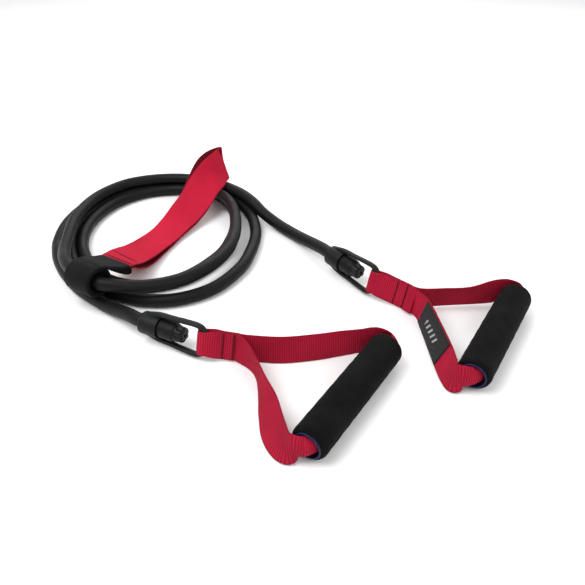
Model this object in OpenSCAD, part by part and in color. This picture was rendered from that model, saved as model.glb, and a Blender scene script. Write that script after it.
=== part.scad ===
// Resistance cord with two handles and a door anchor, laid out on a flat surface.
// +X runs from the coil to the handles, +Y from the handles to the back of the coil.

/* [Tube] */
// Outside diameter of the rubber tube
tube_d = 12.7; // [11:0.1:15.2]
// Bore of the rubber tube where it is not stretched
tube_bore = 6.4; // [4:0.1:7.6]
// Outside diameter of the tube where the plug swells it
swell_d = 17.4; // [15.2:0.1:18]
// Length of the swollen tube end, past the barrel
swell_l = 16; // [12:1:20]

/* [Coil] */
// Half width of the coil along X, to the middle of its ring
coil_a = 96; // [80:1:116]
// Half length of the coil along Y, to the middle of its ring
coil_b = 120; // [100:1:144]
// Width of the ring's bottom layer, three tubes side by side
coil_w = 38; // [32:0.1:42]
// Width of the ring's top layer
coil_top_w = 17; // [14:0.1:20]

/* [Connector] */
// Outside diameter of the barrel
barrel_d = 20.4; // [19.8:0.1:24]
// Length of the barrel
barrel_l = 19; // [16:1:23]
// Distance from the barrel's mouth to the middle of the bar
bar_x = 62; // [58:1:74]
// Diameter of the bar that the webbing runs round
bar_d = 7; // [5.8:0.1:8.4]
// Width of the two arms, seen along the window
arm_w = 7; // [5.8:0.1:8.4]
// Height of each arm
arm_h = 4.2; // [3.4:0.1:4.4]
// Length of the plug's head, past the tube end
head_l = 7.5; // [6:0.5:10]

/* [Webbing] */
// Width of the handle webbing
web_w = 25.4; // [21:0.1:26]
// Thickness of the webbing
web_t = 1.6; // [1.2:0.1:2]
// Width of the webbing where it bunches up on the bar
web_bar_w = 21.4; // [18:0.1:21.6]

/* [Handle] */
// Outside diameter of the foam grip
grip_d = 29; // [26:0.1:34]
// Length of the foam grip
grip_l = 126; // [105:1:151]
// Outside diameter of the plastic handle tube
core_d = 22.8; // [21.8:0.1:24]
// Bore of the plastic handle tube
core_bore = 19.8; // [19:0.1:20.6]
// How far the plastic tube stands out of the foam at each end
core_out = 1.5; // [0.5:0.1:3]

/* [Anchor] */
// Outside diameter of the fabric sleeve
sleeve_d = 31; // [26:0.1:32]
// Length of the fabric sleeve
sleeve_l = 32; // [26:1:38]
// Gap between the sleeve and the tube inside it
sleeve_gap = 0.4; // [0.3:0.1:1]
// Width of the anchor webbing
anchor_w = 38; // [32:0.1:40]

/* [Label] */
// Width of the woven label
label_w = 24; // [20:0.1:24]
// Thickness of the woven label
label_t = 0.6; // [0.4:0.1:1]

/* [Hidden] */
$fn = 64;

// Running gap between pieces that turn on each other
clear = 0.35;
// Moves the layout so that the origin is under the middle of it
shift = [-4, -3.2, 0];
coil_at = [-150, 108, 0];
tube_r = tube_d / 2;
sides = 10;

// Left connector: barrel mouth, heading, roll of the window about the tube
left_link = [-130, -67, 16];
left_az = -27;
left_swing = 20;
// Right connector
right_link = [39.7, 44.9, 16];
right_az = -52;
right_swing = 14;
link_roll = 15;

// Handles: middle of the grip and its heading
grip_z = 14.6;
left_grip = [44.6, -152.9, grip_z];
left_grip_az = 57;
right_grip = [174.8, -81, grip_z];
right_grip_az = 58.5;

// Anchor sleeve: middle, heading along the tube inside it
sleeve_at = [-190.5, -17.5, 29];
sleeve_az = 148;

// Routes of the two stretches that are not coiled, from the coil to the connector
left_route = [[-184, -22, 6.4], [-172, -31.5, 6.6], [-160, -41, 9],
    [-147, -52.5, 12.6], [-138.5, -61, 15]];
right_route = [[-48, 164.5, 6.4], [-31, 144, 6.4], [-17, 127, 6.4], [-3.6, 110, 6.6],
    [9.5, 92.5, 8.2], [22, 74.5, 11.4], [32, 58, 14.8]];

// Sewn tabs of the handle straps, measured from the bar: two rows of thread, end of the tab
left_tab = [17, 26, 29];
right_tab = [25, 35, 39];

function unit(v) = v / norm(v);
function flat(az) = [cos(az), sin(az), 0];
function left_of(az) = [-sin(az), cos(az), 0];

// Direction of a connector's bar: upright, rolled back about the tube
function bar_dir(az) = cos(link_roll) * [0, 0, 1] + sin(link_roll) * left_of(az);
function bar_at(link, az) = link + bar_x * flat(az);
// Heading of the sewn tab, and the side of it that the near leg leaves from
function tab_dir(az, swing) = cos(swing) * flat(az) + sin(swing) * cross(bar_dir(az), flat(az));
function tab_side(az, swing) = cross(tab_dir(az, swing), bar_dir(az));

// A place near a grip: distance along it, distance out to the side away from the connector
function by_grip(mid, az, along, out, z = 0) = mid + along * flat(az) - out * left_of(az) + [0, 0, z];

// Tangent of a path at point i
function heading(p, i, closed) =
    let (n = len(p), a = closed ? (i + n - 1) % n : max(i - 1, 0), b = closed ? (i + 1) % n : min(i + 1, n - 1))
    unit(p[b] - p[a]);

// One cross-section of webbing. A station is [place, direction across, curl radius or 0, width].
strip = 6;
function web_ring(s, t, thick, lift) =
    let (w = unit(s[1] - (s[1] * t) * t), n = cross(t, w), r = s[2] == 0 ? 2000 : s[2])
    concat(
        [for (k = [0 : strip]) let (a = (k / strip - 0.5) * s[3] / r * 180 / PI)
            s[0] + w * r * sin(a) + n * r * (1 - cos(a)) + (lift - thick / 2) * (n * cos(a) - w * sin(a))],
        [for (k = [strip : -1 : 0]) let (a = (k / strip - 0.5) * s[3] / r * 180 / PI)
            s[0] + w * r * sin(a) + n * r * (1 - cos(a)) + (lift + thick / 2) * (n * cos(a) - w * sin(a))]);

// A run of webbing through its stations, closed into a loop or open with two ends
module webbing(stations, thick, closed = false, lift = 0) {
    path = [for (s = stations) s[0]];
    n = len(stations);
    m = 2 * (strip + 1);
    rings = [for (i = [0 : n - 1]) web_ring(stations[i], heading(path, i, closed), thick, lift)];
    last = closed ? n - 1 : n - 2;
    wall = [for (i = [0 : last]) for (k = [0 : m - 1]) for (f = [0, 1])
        let (a = i * m + k, b = i * m + (k + 1) % m, c = ((i + 1) % n) * m + (k + 1) % m, d = ((i + 1) % n) * m + k)
        f == 0 ? [a, c, b] : [a, d, c]];
    cap_a = [for (k = [0 : strip - 1]) for (f = [0, 1])
        f == 0 ? [k, k + 1, m - 1 - k] : [k + 1, m - 2 - k, m - 1 - k]];
    cap_b = [for (q = cap_a) [q[0] + (n - 1) * m, q[2] + (n - 1) * m, q[1] + (n - 1) * m]];
    polyhedron([for (r = rings) for (p = r) p], closed ? wall : concat(wall, cap_a, cap_b), convexity = 10);
}

// A round tube swept along hand-placed points
module swept_tube(route, r) {
    n = len(route);
    rings = [for (i = [0 : n - 1])
        let (t = heading(route, i, false), s = unit(cross(t, [0, 0, 1])), u = cross(s, t))
        [for (k = [0 : sides - 1]) route[i] + r * (s * cos(k * 360 / sides) + u * sin(k * 360 / sides))]];
    wall = [for (i = [0 : n - 2]) for (k = [0 : sides - 1]) for (f = [0, 1])
        let (a = i * sides + k, b = i * sides + (k + 1) % sides, c = b + sides, d = a + sides)
        f == 0 ? [a, b, c] : [a, c, d]];
    cap_a = [for (k = [1 : sides - 2]) [0, k + 1, k]];
    cap_b = [for (q = cap_a) [q[0] + (n - 1) * sides, q[2] + (n - 1) * sides, q[1] + (n - 1) * sides]];
    polyhedron([for (r = rings) for (p = r) p], concat(wall, cap_a, cap_b), convexity = 6);
}

// Puts a piece drawn along +X, window upright, on a connector's place
module on_link(link, az) {
    translate(shift + link) rotate([0, 0, az]) rotate([-link_roll, 0, 0]) children();
}

// Turns a profile drawn as [distance along, radius] about +X
module turned(profile) {
    rotate([0, 90, 0]) rotate_extrude() polygon([for (p = profile) [p[1], p[0]]]);
}

// Outline of the coil at a distance outside the middle of its ring, swept from angle a to b
function oval(out, a = 0, b = 360, n = 72) =
    [for (i = [0 : n]) let (f = a + (b - a) * i / n) [-(coil_a + out) * sin(f), -(coil_b + out) * cos(f)]];

// The lay of three and a half turns: three tubes wide below, the rest on top of them
top_u = -3.5;
module tube_coil() {
    color("#2b2b2e") translate(shift) union() {
        difference() {
            union() {
                translate(coil_at) linear_extrude(tube_d) difference() {
                    polygon(oval(coil_w / 2));
                    polygon(oval(-coil_w / 2));
                }
                translate(coil_at) linear_extrude(2 * tube_d) difference() {
                    polygon(oval(top_u + coil_top_w / 2));
                    polygon(oval(top_u - coil_top_w / 2));
                }
                // The run on top climbs into the sleeve and comes down after it
                translate(coil_at) linear_extrude(sleeve_at.z + 0.3 * tube_r)
                    polygon(concat(oval(coil_w / 2, 2, 58, 12), [for (p = [12 : -1 : 0]) oval(0, 2, 58, 12)[p]]));
            }
            translate(sleeve_at) rotate([0, 0, sleeve_az]) rotate([0, 90, 0])
                cylinder(h = sleeve_l + 2, d = sleeve_d + 1, center = true);
        }
        translate(sleeve_at) rotate([0, 0, sleeve_az]) rotate([0, 90, 0])
            cylinder(h = sleeve_l + 10, d = tube_d, center = true);
    }
}

module tube_left() {
    color("#2b2b2e") translate(shift) swept_tube(concat(left_route, [left_link]), tube_r);
}

module tube_right() {
    color("#2b2b2e") translate(shift) swept_tube(concat(right_route, [right_link]), tube_r);
}

// Tube end: through the barrel, then swollen round the plug
swell_x = barrel_l + 1;
stem_d = swell_d - 2.8;
module tube_end(link, az) {
    color("#1d1d1f") on_link(link, az) turned([
        [0, tube_bore / 2], [0, tube_r], [swell_x - 7, tube_r], [swell_x - 1, swell_d / 2],
        [swell_x + swell_l - 2, swell_d / 2], [swell_x + swell_l, swell_d / 2 - 1.4],
        [swell_x + swell_l, stem_d / 2], [swell_x, stem_d / 2], [swell_x - 6, tube_bore / 2]]);
}
module tube_end_left() {
    tube_end(left_link, left_az);
}
module tube_end_right() {
    tube_end(right_link, right_az);
}

// Plug: tapered stem inside the tube, fluted head outside it
module plug(link, az) {
    head_x = swell_x + swell_l;
    color("#3a3a3c") on_link(link, az) difference() {
        union() {
            turned([[swell_x - 5, 0], [swell_x - 5, tube_bore / 2 - 0.4], [swell_x + 1, stem_d / 2 - 0.05],
                [head_x, stem_d / 2 - 0.05], [head_x, 0]]);
            turned([[head_x, 0], [head_x, stem_d / 2], [head_x + head_l - 1, stem_d / 2],
                [head_x + head_l, stem_d / 2 - 1], [head_x + head_l, 0]]);
        }
        for (k = [0 : 5])
            rotate([k * 60, 0, 0]) translate([head_x + 1.5, 0, stem_d / 2 + 0.6])
                rotate([0, 90, 0]) cylinder(h = head_l, d = 3.2, $fn = 24);
        translate([head_x + 3, 0, 0]) rotate([0, 90, 0]) cylinder(h = head_l, d = 2.8);
    }
}
module plug_left() {
    plug(left_link, left_az);
}
module plug_right() {
    plug(right_link, right_az);
}

// Connector: barrel that turns on the tube, two arms and a round bar
arm_in = swell_d / 2 + 0.7;
bar_in = web_bar_w / 2 + 0.5;
module link_outline() {
    round_r = 6;
    hull() {
        translate([4, -barrel_d / 2 + 1]) square([1, barrel_d - 2]);
        translate([barrel_l - 4, -arm_in - arm_h + 2]) square([1, 2 * (arm_in + arm_h - 2)]);
        for (s = [-1, 1]) {
            translate([barrel_l + 4, s * (arm_in + arm_h - 4)]) circle(4);
            translate([bar_x + bar_d / 2 - round_r, s * (bar_in + arm_h - round_r)]) circle(round_r);
        }
    }
}
module link_window() {
    polygon([[barrel_l, -arm_in], [barrel_l + 16, -arm_in], [bar_x - 12, -bar_in],
        [bar_x - bar_d / 2, -bar_in], [bar_x - bar_d / 2, bar_in], [bar_x - 12, bar_in],
        [barrel_l + 16, arm_in], [barrel_l, arm_in]]);
}
module link(link, az) {
    bore_r = tube_r + clear;
    seat_r = swell_d / 2 + clear;
    color("#333536") on_link(link, az) difference() {
        union() {
            turned([[0, 0], [0, barrel_d / 2 - 1.5], [1.5, barrel_d / 2], [barrel_l, barrel_d / 2], [barrel_l, 0]]);
            rotate([90, 0, 0]) linear_extrude(arm_w, center = true) difference() {
                link_outline();
                link_window();
                translate([bar_x - bar_d / 2 - 1, -bar_in]) square([bar_d + 2, 2 * bar_in]);
            }
            translate([bar_x, 0, -bar_in - 1]) cylinder(h = 2 * bar_in + 2, d = bar_d);
        }
        turned([[-1, 0], [-1, bore_r], [swell_x - 8, bore_r], [swell_x - 1.6, seat_r],
            [barrel_l + 15, seat_r], [barrel_l + 15, 0]]);
    }
}
module link_left() {
    link(left_link, left_az);
}
module link_right() {
    link(right_link, right_az);
}

// The part of a handle strap that is sewn round the bar, from the near leg to the far leg
wrap_r = bar_d / 2 + clear + web_t / 2;
lap = web_t / 2 + 0.1;
function tab_station(link, az, swing, x, side, w) =
    [bar_at(link, az) + x * tab_dir(az, swing) + side * tab_side(az, swing), bar_dir(az), 0, w];
function bar_wrap(link, az, swing, tab) = concat(
    [for (i = [2, 1, 0]) tab_station(link, az, swing, tab[i], lap, web_w)],
    [tab_station(link, az, swing, 9, 0.62 * wrap_r, web_w - 1)],
    [for (a = [70 : 20 : 290]) tab_station(link, az, swing, wrap_r * cos(a), wrap_r * sin(a), web_bar_w)],
    [tab_station(link, az, swing, 9, -0.62 * wrap_r, web_w - 1)],
    [for (i = [0, 1, 2]) tab_station(link, az, swing, tab[i], -lap, web_w)]);

// The part of a handle strap that runs through the grip, from its far end to its near end
curl_r = core_bore / 2 - clear - web_t / 2 - 0.4;
function grip_run(mid, az) = let (e = grip_l / 2 + core_out) [
    [by_grip(mid, az, e - 7, -23), [0, 0, 1], 0, web_w],
    [by_grip(mid, az, e - 1, -17.5), [0, 0, 1], 0, web_w],
    [by_grip(mid, az, e + 4, -12.5), [0, 0, 1], 60, web_w],
    [by_grip(mid, az, e + 7, -5.5), [0, 0, 1], 26, web_w],
    [by_grip(mid, az, e + 7.5, 1), [0, 0, 1], 17, web_w],
    [by_grip(mid, az, e + 5.5, 5.5), [0, 0, 1], 12, web_w],
    [by_grip(mid, az, e + 2, curl_r - 0.3), [0, 0, 1], curl_r + 0.4, web_w],
    [by_grip(mid, az, e - 6, curl_r), [0, 0, 1], curl_r, web_w],
    [by_grip(mid, az, 20, curl_r), [0, 0, 1], curl_r, web_w],
    [by_grip(mid, az, -20, curl_r), [0, 0, 1], curl_r, web_w],
    [by_grip(mid, az, -e + 10, curl_r), [0, 0, 1], curl_r, web_w],
    [by_grip(mid, az, -e - 0.5, 5), [0, 0, 1], 8.3, web_w - 3.4],
    [by_grip(mid, az, -e - 5, 0.5), [0, 0, 1], 11, web_w - 2.4],
    [by_grip(mid, az, -e - 7.5, -5.5), [0, 0, 1], 18, web_w - 1]];

// Far and near legs: place and the direction across the webbing
left_far_leg = [[[-36, -100.5, 13.6], [0, 0.17, 1]], [[-8, -102.5, 13.3], [0, 0.17, 1]],
    [[21, -98.5, 13.3], [0, 0.15, 1]], [[40, -94.5, 13.6], [0, 0.1, 1]]];
left_near_leg = [[[-5, -205.8, 12.8], [0.25, 0.3, 1]], [[-10.5, -197.5, 11.8], [0.6, 0.3, 1]],
    [[-15, -184, 11], [0.8, 0.2, 1]], [[-18.5, -166, 11], [0.65, 0.1, 1]],
    [[-23.5, -147, 12.4], [0.25, 0, 1]], [[-29, -125, 13.1], [0, 0, 1]], [[-36, -111, 13.6], [0, 0.1, 1]]];
right_far_leg = [[[119, -28.5, 13.6], [0, -0.2, 1]], [[138, -26.5, 13.3], [0, -0.28, 1]],
    [[163, -24.5, 13.4], [0, -0.28, 1]]];
right_near_leg = [[[127, -135.3, 13], [0.2, 0.2, 1]], [[125, -126, 12.6], [0.4, 0.1, 1]],
    [[124, -108, 12.2], [0.5, 0, 1]], [[121.5, -78, 12.4], [0.4, 0, 1]], [[118.5, -49, 13], [0.28, 0, 1]],
    [[114, -37, 13.4], [0.1, 0.1, 1]]];
function leg(points) = [for (p = points) [p[0], p[1], 0, web_w]];

left_strap = concat(leg(left_far_leg), grip_run(left_grip, left_grip_az), leg(left_near_leg),
    bar_wrap(left_link, left_az, left_swing, left_tab));
right_strap = concat(leg(right_far_leg), grip_run(right_grip, right_grip_az), leg(right_near_leg),
    bar_wrap(right_link, right_az, right_swing, right_tab));

module strap_left() {
    color("#b3122f") translate(shift) webbing(left_strap, web_t, closed = true);
}
module strap_right() {
    color("#b3122f") translate(shift) webbing(right_strap, web_t, closed = true);
}

// Two rows of thread through both layers of a tab, seen on both faces
stitch_n = 6;
stitch_t = 0.5;
module stitches(link, az, swing, tab) {
    pitch = (web_w - 2) / stitch_n;
    x = tab_dir(az, swing);
    y = tab_side(az, swing);
    z = bar_dir(az);
    at = bar_at(link, az);
    color("#17080b") translate(shift)
        multmatrix([[x[0], y[0], z[0], at[0]], [x[1], y[1], z[1], at[1]], [x[2], y[2], z[2], at[2]], [0, 0, 0, 1]])
            for (row = [tab[0], tab[1]])
                for (face = [-1, 1])
                    for (k = [0 : stitch_n - 1])
                        translate([row, face * (lap + web_t / 2 + stitch_t / 2), (k - (stitch_n - 1) / 2) * pitch])
                            cube([1, stitch_t, pitch * 0.8], center = true);
}
module stitches_left() {
    stitches(left_link, left_az, left_swing, left_tab);
}
module stitches_right() {
    stitches(right_link, right_az, right_swing, right_tab);
}

// Plastic tube of a handle, and the foam pulled over it
module on_grip(mid, az) {
    translate(shift + mid) rotate([0, 0, az]) children();
}
module handle_core(mid, az) {
    e = grip_l / 2 + core_out;
    color("#1b2f78") on_grip(mid, az) turned([[-e, core_bore / 2 + 0.4], [-e + 0.4, core_bore / 2],
        [e - 0.4, core_bore / 2], [e, core_bore / 2 + 0.4], [e, core_d / 2 - 0.4], [e - 0.4, core_d / 2],
        [-e + 0.4, core_d / 2], [-e, core_d / 2 - 0.4]]);
}
module handle_core_left() {
    handle_core(left_grip, left_grip_az);
}
module handle_core_right() {
    handle_core(right_grip, right_grip_az);
}
module foam_grip(mid, az) {
    h = grip_l / 2;
    r = grip_d / 2;
    f = 2.5;
    edge = [for (a = [0 : 30 : 90]) [h - f + f * sin(a), r - f + f * cos(a)]];
    half = concat([[0, r]], edge, [[h, core_d / 2], [0, core_d / 2]]);
    color("#1a1a1b") on_grip(mid, az) union() {
        turned(half);
        mirror([1, 0, 0]) turned(half);
    }
}
module foam_grip_left() {
    foam_grip(left_grip, left_grip_az);
}
module foam_grip_right() {
    foam_grip(right_grip, right_grip_az);
}

// Woven label sewn on the outside of the right handle's near leg
module woven_label() {
    first = len(right_far_leg) + len(grip_run(right_grip, right_grip_az)) + 2;
    color("#101012") translate(shift)
        webbing([for (i = [first : first + 2]) let (s = right_strap[i]) [s[0], s[1], 0, label_w]],
            label_t, lift = -web_t / 2 - label_t / 2 - 0.05);
}

// Sleeve wrapped round the tube, with the flap that holds the webbing
flap_x = -5;
flap_w = anchor_w + 1.6;
flap_t = 6;
flap_out = 33;
module on_sleeve() {
    translate(shift + sleeve_at) rotate([0, 0, sleeve_az]) children();
}
module anchor_sleeve() {
    r = sleeve_d / 2;
    hole = tube_r + sleeve_gap;
    h = sleeve_l / 2;
    color("#202124") on_sleeve() difference() {
        union() {
            turned([[-h, 0], [-h, r - 2], [-h + 2, r], [h - 2, r], [h, r - 2], [h, 0]]);
            translate([flap_x + flap_w / 2, 0, 0]) rotate([90, 0, -90]) linear_extrude(flap_w)
                polygon([[0, r - 1], [0, hole + 3], [10, hole + 1], [flap_out, 1.5 - flap_t / 2],
                    [flap_out, 1.5 + flap_t / 2], [14, 11]]);
        }
        rotate([0, 90, 0]) cylinder(h = sleeve_l + 2, r = hole, center = true);
        translate([flap_x - anchor_w / 2 - 0.2, -flap_out - 1, 1.5 - web_t - 0.4])
            cube([anchor_w + 0.4, 9, 2 * web_t + 0.8]);
    }
}

// Anchor webbing: out along the top layer, over the tip, back along the under layer
anchor_route = [[[-172.5, 1.9, 31.55], [-0.848, 0.53, 0]], [[-168.2, 8.8, 31.4], [-0.848, 0.53, 0]],
    [[-165, 22, 26.5], [-0.79, 0.61, 0]], [[-162.5, 42, 18.5], [-0.76, 0.65, 0]],
    [[-158.5, 58, 13], [-0.78, 0.62, 0]], [[-152, 80, 8], [-0.86, 0.5, 0]],
    [[-142, 105, 5.4], [-0.88, 0.47, 0]], [[-131.5, 126, 9], [-0.96, 0.2, 0]],
    [[-122, 142, 15], [-0.98, 0.1, 0.08]], [[-112.5, 158, 22.5], [-0.98, 0.05, 0.1]],
    [[-105, 173.5, 31], [-0.93, 0.08, 0.22]], [[-97, 186.5, 38], [-0.8, 0.1, 0.48]],
    [[-90.5, 196.5, 42], [-0.45, 0.12, 0.82]], [[-85, 206.5, 44.2], [-0.3, 0.2, 0.9]],
    [[-83.5, 211.5, 44.2], [-0.28, 0.2, 0.92]], [[-87.5, 213.5, 43.7], [-0.3, 0.2, 0.9]],
    [[-99, 205, 40], [-0.68, 0.25, 0.48]], [[-107, 180, 31.2], [-0.93, 0.12, 0.15]],
    [[-114, 158, 19.5], [-0.98, 0.05, 0.08]], [[-123, 142, 11.7], [-0.98, 0.1, 0.05]],
    [[-132.5, 126, 5.9], [-0.96, 0.2, 0]], [[-143, 105, 2.6], [-0.88, 0.47, 0]],
    [[-152.5, 80, 3], [-0.86, 0.5, 0]], [[-159, 58, 6], [-0.78, 0.62, 0]],
    [[-163, 42, 11.5], [-0.76, 0.65, 0]], [[-165.5, 22, 21.5], [-0.79, 0.61, 0]],
    [[-168.2, 8.8, 29.2], [-0.848, 0.53, 0]], [[-172.5, 1.9, 29.45], [-0.848, 0.53, 0]]];
module anchor_strap() {
    color("#c01a38") translate(shift) webbing([for (p = anchor_route) [p[0], p[1], 0, anchor_w]], web_t);
}

// Thread across the anchor webbing, and along the flap's edge
module anchor_stitches() {
    pitch = (anchor_w - 2) / stitch_n;
    color("#17080b") on_sleeve()
        for (k = [0 : stitch_n - 1])
            translate([flap_x + (k - (stitch_n - 1) / 2) * pitch, -flap_out + 4, 1.5 + flap_t / 2 + stitch_t / 2])
                cube([pitch * 0.8, 1, stitch_t], center = true);
}

tube_coil();
tube_left();
tube_right();
tube_end_left();
tube_end_right();
plug_left();
plug_right();
link_left();
link_right();
strap_left();
strap_right();
stitches_left();
stitches_right();
handle_core_left();
handle_core_right();
foam_grip_left();
foam_grip_right();
woven_label();
anchor_sleeve();
anchor_strap();
anchor_stitches();
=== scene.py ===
import math

import bmesh
import bpy
from mathutils import Matrix, Vector


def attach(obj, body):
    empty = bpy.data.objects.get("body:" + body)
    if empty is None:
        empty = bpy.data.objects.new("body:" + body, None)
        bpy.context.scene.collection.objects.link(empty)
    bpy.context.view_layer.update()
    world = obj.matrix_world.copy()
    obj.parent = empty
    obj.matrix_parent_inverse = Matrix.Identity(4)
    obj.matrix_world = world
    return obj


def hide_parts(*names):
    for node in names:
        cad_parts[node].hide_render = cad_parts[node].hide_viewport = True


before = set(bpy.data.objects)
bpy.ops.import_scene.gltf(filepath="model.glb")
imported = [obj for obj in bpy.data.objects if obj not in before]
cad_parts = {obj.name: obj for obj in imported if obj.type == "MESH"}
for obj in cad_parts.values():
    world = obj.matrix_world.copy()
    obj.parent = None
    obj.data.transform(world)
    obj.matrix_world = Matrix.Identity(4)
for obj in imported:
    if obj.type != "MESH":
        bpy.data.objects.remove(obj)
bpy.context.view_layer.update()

layoutShift = Vector((-0.004, -0.0032, 0.0))  # added to every place in the layout
tubeRadius = 0.00635
webHalf = 0.0008  # about half the handle webbing's thickness
clearance = 0.00035


def smoothRows(rows, steps, closed=False):
    # Catmull-Rom through rows of numbers, any length
    out = []
    count = len(rows)
    spans = count if closed else count - 1
    for i in range(spans):
        if closed:
            a, b, c, d = (rows[(i + k) % count] for k in (-1, 0, 1, 2))
        else:
            a, b, c, d = (rows[min(max(i + k, 0), count - 1)] for k in (-1, 0, 1, 2))
        for step in range(steps):
            t = step / steps
            out.append([
                0.5 * (2 * q + (r - p) * t + (2 * p - 5 * q + 4 * r - s) * t * t
                       + (3 * q - p - 3 * r + s) * t ** 3)
                for p, q, r, s in zip(a, b, c, d)
            ])
    if not closed:
        out.append(list(rows[-1]))
    return out


def evenRows(rows, spacing, closed=False):
    # same line, rows a fixed distance apart; the first three numbers are the place
    line = rows + [rows[0]] if closed else rows
    far = [0.0]
    for a, b in zip(line, line[1:]):
        far.append(far[-1] + (Vector(b[:3]) - Vector(a[:3])).length)
    count = max(2, round(far[-1] / spacing))
    out, k = [], 0
    for i in range(count if closed else count + 1):
        want = far[-1] * i / count
        while k < len(far) - 2 and far[k + 1] < want:
            k += 1
        t = (want - far[k]) / max(far[k + 1] - far[k], 1e-9)
        out.append([p + (q - p) * t for p, q in zip(line[k], line[k + 1])])
    return out, far[-1]


def tangents(points, closed=False):
    count = len(points)
    out = []
    for i in range(count):
        a = points[(i - 1) % count] if closed else points[max(i - 1, 0)]
        b = points[(i + 1) % count] if closed else points[min(i + 1, count - 1)]
        out.append((b - a).normalized())
    return out


def finishMesh(name, bm, material, body, nodes=()):
    bmesh.ops.recalc_face_normals(bm, faces=bm.faces)
    mesh = bpy.data.meshes.new(name)
    bm.to_mesh(mesh)
    bm.free()
    obj = bpy.data.objects.new(name, mesh)
    bpy.context.scene.collection.objects.link(obj)
    mesh.materials.append(material)
    for face in mesh.polygons:
        face.use_smooth = True
    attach(obj, body)
    if nodes:
        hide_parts(*nodes)
    return obj


def sweepRings(bm, rings, closed=False):
    count = len(rings)
    sides = len(rings[0])
    for i in range(count if closed else count - 1):
        a, b = rings[i], rings[(i + 1) % count]
        for k in range(sides):
            n = (k + 1) % sides
            bm.faces.new((a[k], a[n], b[n], b[k]))
    if not closed:
        bm.faces.new(list(reversed(rings[0])))
        bm.faces.new(rings[-1])


def roundSweep(bm, points, radii, sides=20, squash=None, layer=None, upHint=(0, 0, 1)):
    # tube or bar; radii is one number or a list, squash gives (across, up) factors along it
    tang = tangents(points)
    normal = Vector(upHint)
    rings, along = [], 0.0
    for i, p in enumerate(points):
        t = tang[i]
        normal = (normal - t * normal.dot(t)).normalized()
        side = t.cross(normal)
        if i:
            along += (p - points[i - 1]).length
        r = radii[i] if hasattr(radii, "__len__") else radii
        fs, fn = squash[i] if squash else (1.0, 1.0)
        ring = []
        for k in range(sides):
            a = 2 * math.pi * k / sides
            v = bm.verts.new(p + side * math.cos(a) * r * fs + normal * math.sin(a) * r * fn)
            if layer:
                v[layer] = Vector((math.cos(a) * r, along, math.sin(a) * r))
            ring.append(v)
        rings.append(ring)
    sweepRings(bm, rings)


def rounded(profile, radius, steps=4):
    # rounds the corners of an open profile
    pts = [Vector((a, b, 0)) for a, b in profile]
    out = [pts[0]]
    for a, b, c in zip(pts, pts[1:], pts[2:]):
        cut = min(radius, (a - b).length * 0.45, (c - b).length * 0.45)
        p = b + (a - b).normalized() * cut
        q = b + (c - b).normalized() * cut
        for s in range(steps + 1):
            t = s / steps
            out.append(p * (1 - t) ** 2 + b * 2 * t * (1 - t) + q * t * t)
    out.append(pts[-1])
    return [(v.x, v.y) for v in out]


def turned(bm, profile, place, steps=56):
    # spins an (along, radius) profile about the local X axis
    verts = [bm.verts.new(place @ Vector((a, 0, r))) for a, r in profile]
    edges = [bm.edges.new((a, b)) for a, b in zip(verts, verts[1:])]
    axis = (place.to_3x3() @ Vector((1, 0, 0))).normalized()
    bmesh.ops.spin(bm, geom=verts + edges, cent=place.translation, axis=axis,
                   angle=2 * math.pi, steps=steps, use_merge=True)
    bmesh.ops.remove_doubles(bm, verts=bm.verts, dist=1e-6)


def ribbon(name, rows, settings, material, body, closed=False, nodes=(), spanSteps=14):
    # rows: x, y, z, across x, y, z, curl (1 / radius), width
    edgeCrowd, edgeThin = 1.35, 0.45  # points crowd towards the selvedges, which are thinner
    fine, length = evenRows(smoothRows(rows, spanSteps, closed), settings["ring"], closed)
    points = [Vector(r[:3]) + layoutShift for r in fine]
    tang = tangents(points, closed)
    pitch = length / max(1, round(length / settings["pitch"])) if settings["pitch"] else 1.0
    across = settings["segments"]
    lift = settings.get("lift", 0.0)
    bm = bmesh.new()
    weave = bm.verts.layers.float_vector.new("weave")
    rings = []
    for i, r in enumerate(fine):
        t = tang[i]
        w = Vector(r[3:6])
        w = (w - t * w.dot(t)).normalized()
        n = t.cross(w)
        curl, width = r[6], r[7]
        along = length * i / (len(fine) if closed else len(fine) - 1)
        rib = settings["ribDepth"] * math.cos(2 * math.pi * along / pitch) if settings["pitch"] else 0.0
        low, high = [], []
        for k in range(across + 1):
            f = 2 * k / across - 1
            f = math.copysign(1 - (1 - abs(f)) ** edgeCrowd, f)
            s = f * width / 2
            if abs(curl) > 1:
                a = s * curl
                p = points[i] + w * math.sin(a) / curl + n * (1 - math.cos(a)) / curl
                face = n * math.cos(a) - w * math.sin(a)
            else:
                p = points[i] + w * s
                face = n
            half = settings["thick"] / 2 * (1 - edgeThin * abs(f) ** 14) + rib * (1 - abs(f) ** 8)
            a = bm.verts.new(p + face * (lift - half))
            b = bm.verts.new(p + face * (lift + half))
            a[weave] = Vector((s, along, -1))
            b[weave] = Vector((s, along, 1))
            low.append(a)
            high.append(b)
        rings.append(low + list(reversed(high)))
    sweepRings(bm, rings, closed=closed)
    obj = finishMesh(name, bm, material, body, nodes)
    return obj, length


def newGroup(name, inputs, outputs):
    tree = bpy.data.node_groups.new(name, "ShaderNodeTree")
    for label, kind, value in inputs:
        socket = tree.interface.new_socket(name=label, in_out="INPUT", socket_type="NodeSocket" + kind)
        socket.default_value = (*value, 1) if kind == "Color" else value
    for label, kind in outputs:
        tree.interface.new_socket(name=label, in_out="OUTPUT", socket_type="NodeSocket" + kind)
    return tree, tree.nodes.new("NodeGroupInput").outputs, tree.nodes.new("NodeGroupOutput").inputs


def connect(tree, socket, value):
    if isinstance(value, bpy.types.NodeSocket):
        tree.links.new(value, socket)
    elif isinstance(value, tuple):
        socket.default_value = (*value, 1)
    else:
        socket.default_value = value


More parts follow.
